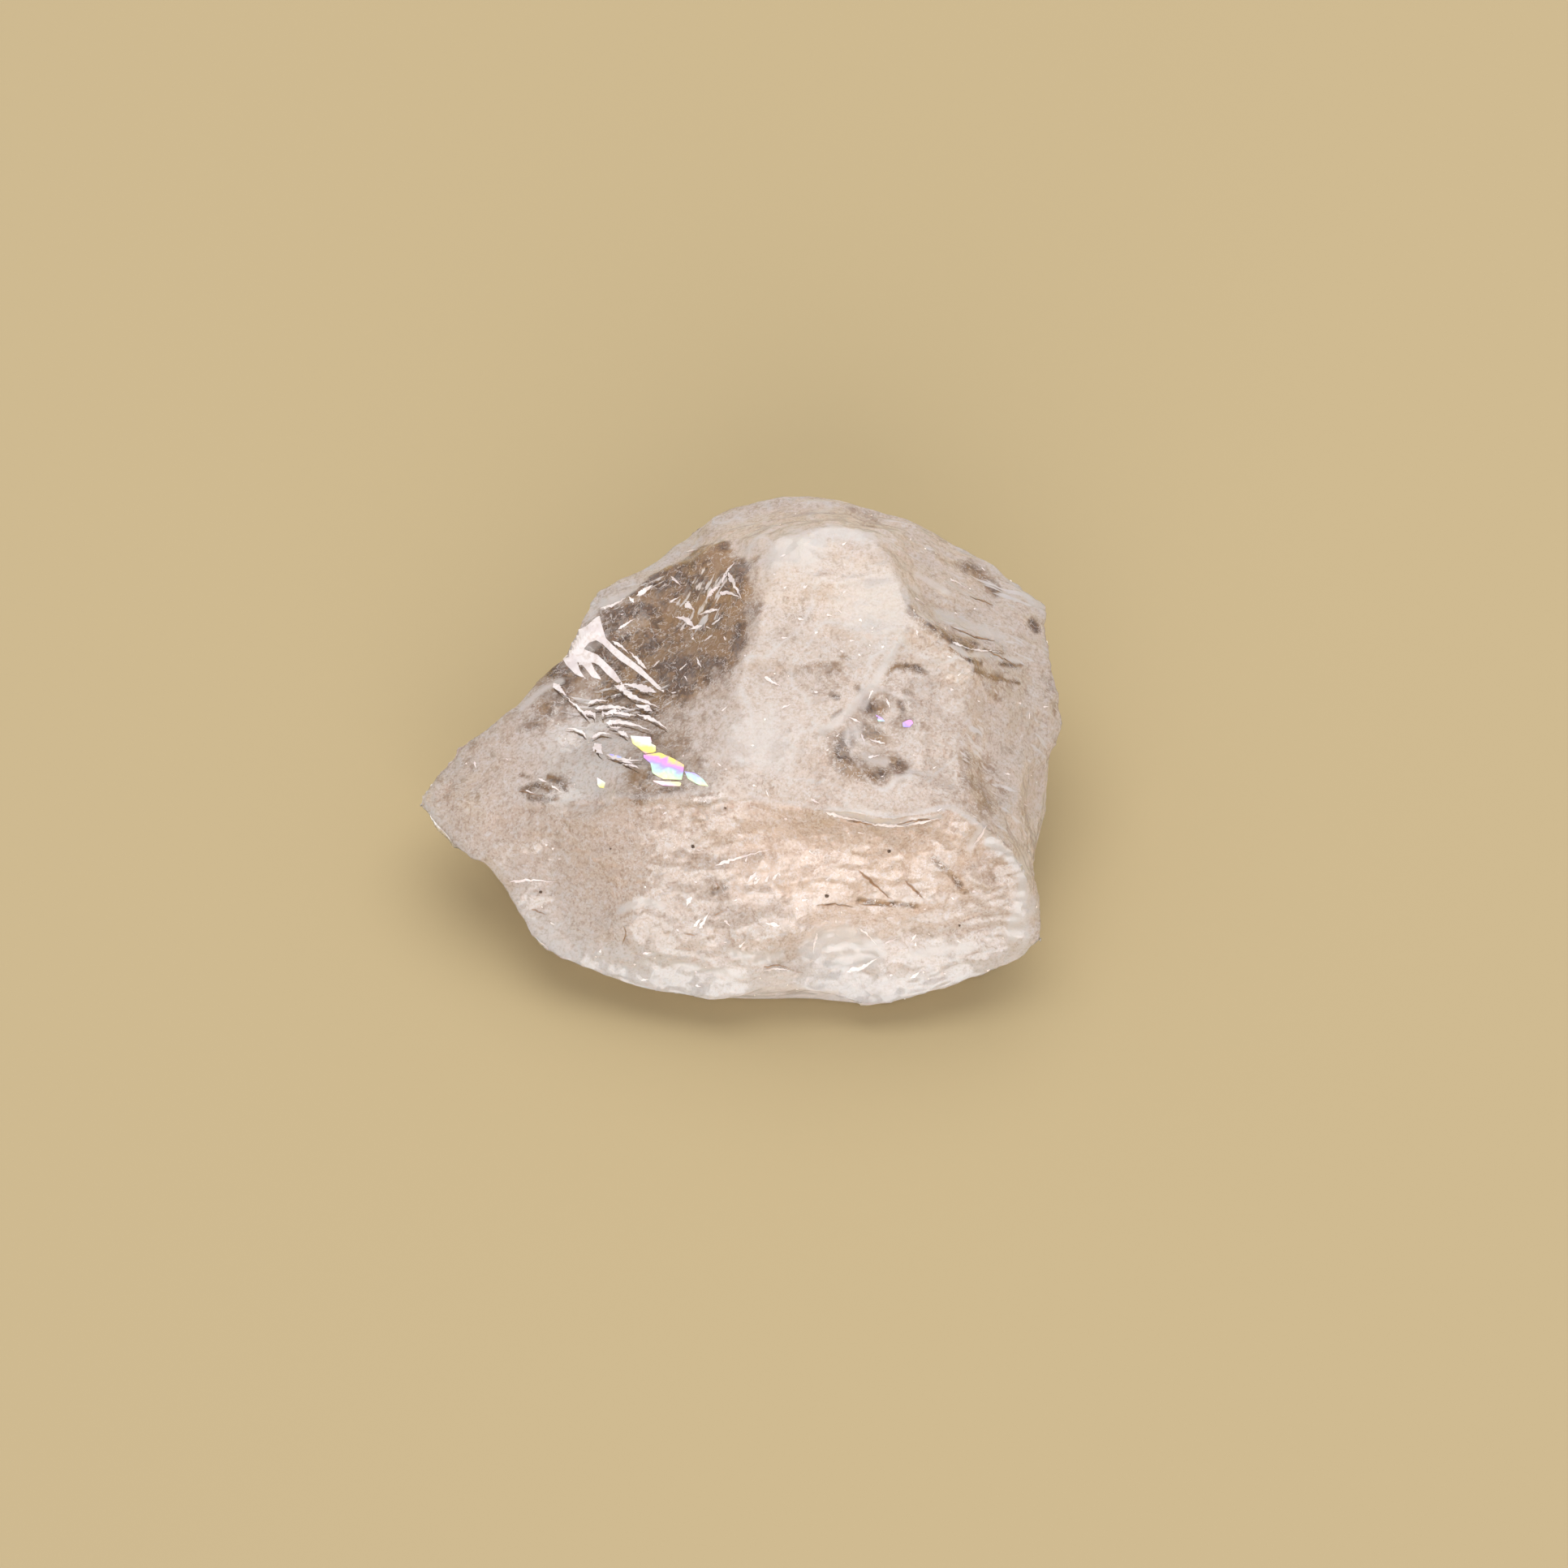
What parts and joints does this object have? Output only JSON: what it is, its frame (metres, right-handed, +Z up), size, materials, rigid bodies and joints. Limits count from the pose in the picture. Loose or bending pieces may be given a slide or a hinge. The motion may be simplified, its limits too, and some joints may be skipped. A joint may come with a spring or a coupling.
{
  "type": "rough morganite",
  "caption": "Broken lump of pale pink beryl, part clear and part milky, with a steep hackly front and a scooped clear top, lying on its flat parting face.",
  "frame": {"origin": "middle of the bounding box's underside, on the surface that the stone lies on", "axes": "+X from the pointed tip to the right flank, the longest side; +Y from the steep front to the back; +Z up, off the flat parting face, the shortest side"},
  "size_m": [0.015, 0.012, 0.0069],
  "materials": {
    "morganite": "broken, glassy and see-through in the hollow, milky and hackly elsewhere"
  },
  "bodies": {
    "root": {"morganite": "morganite"}
  },
  "joints": []
}
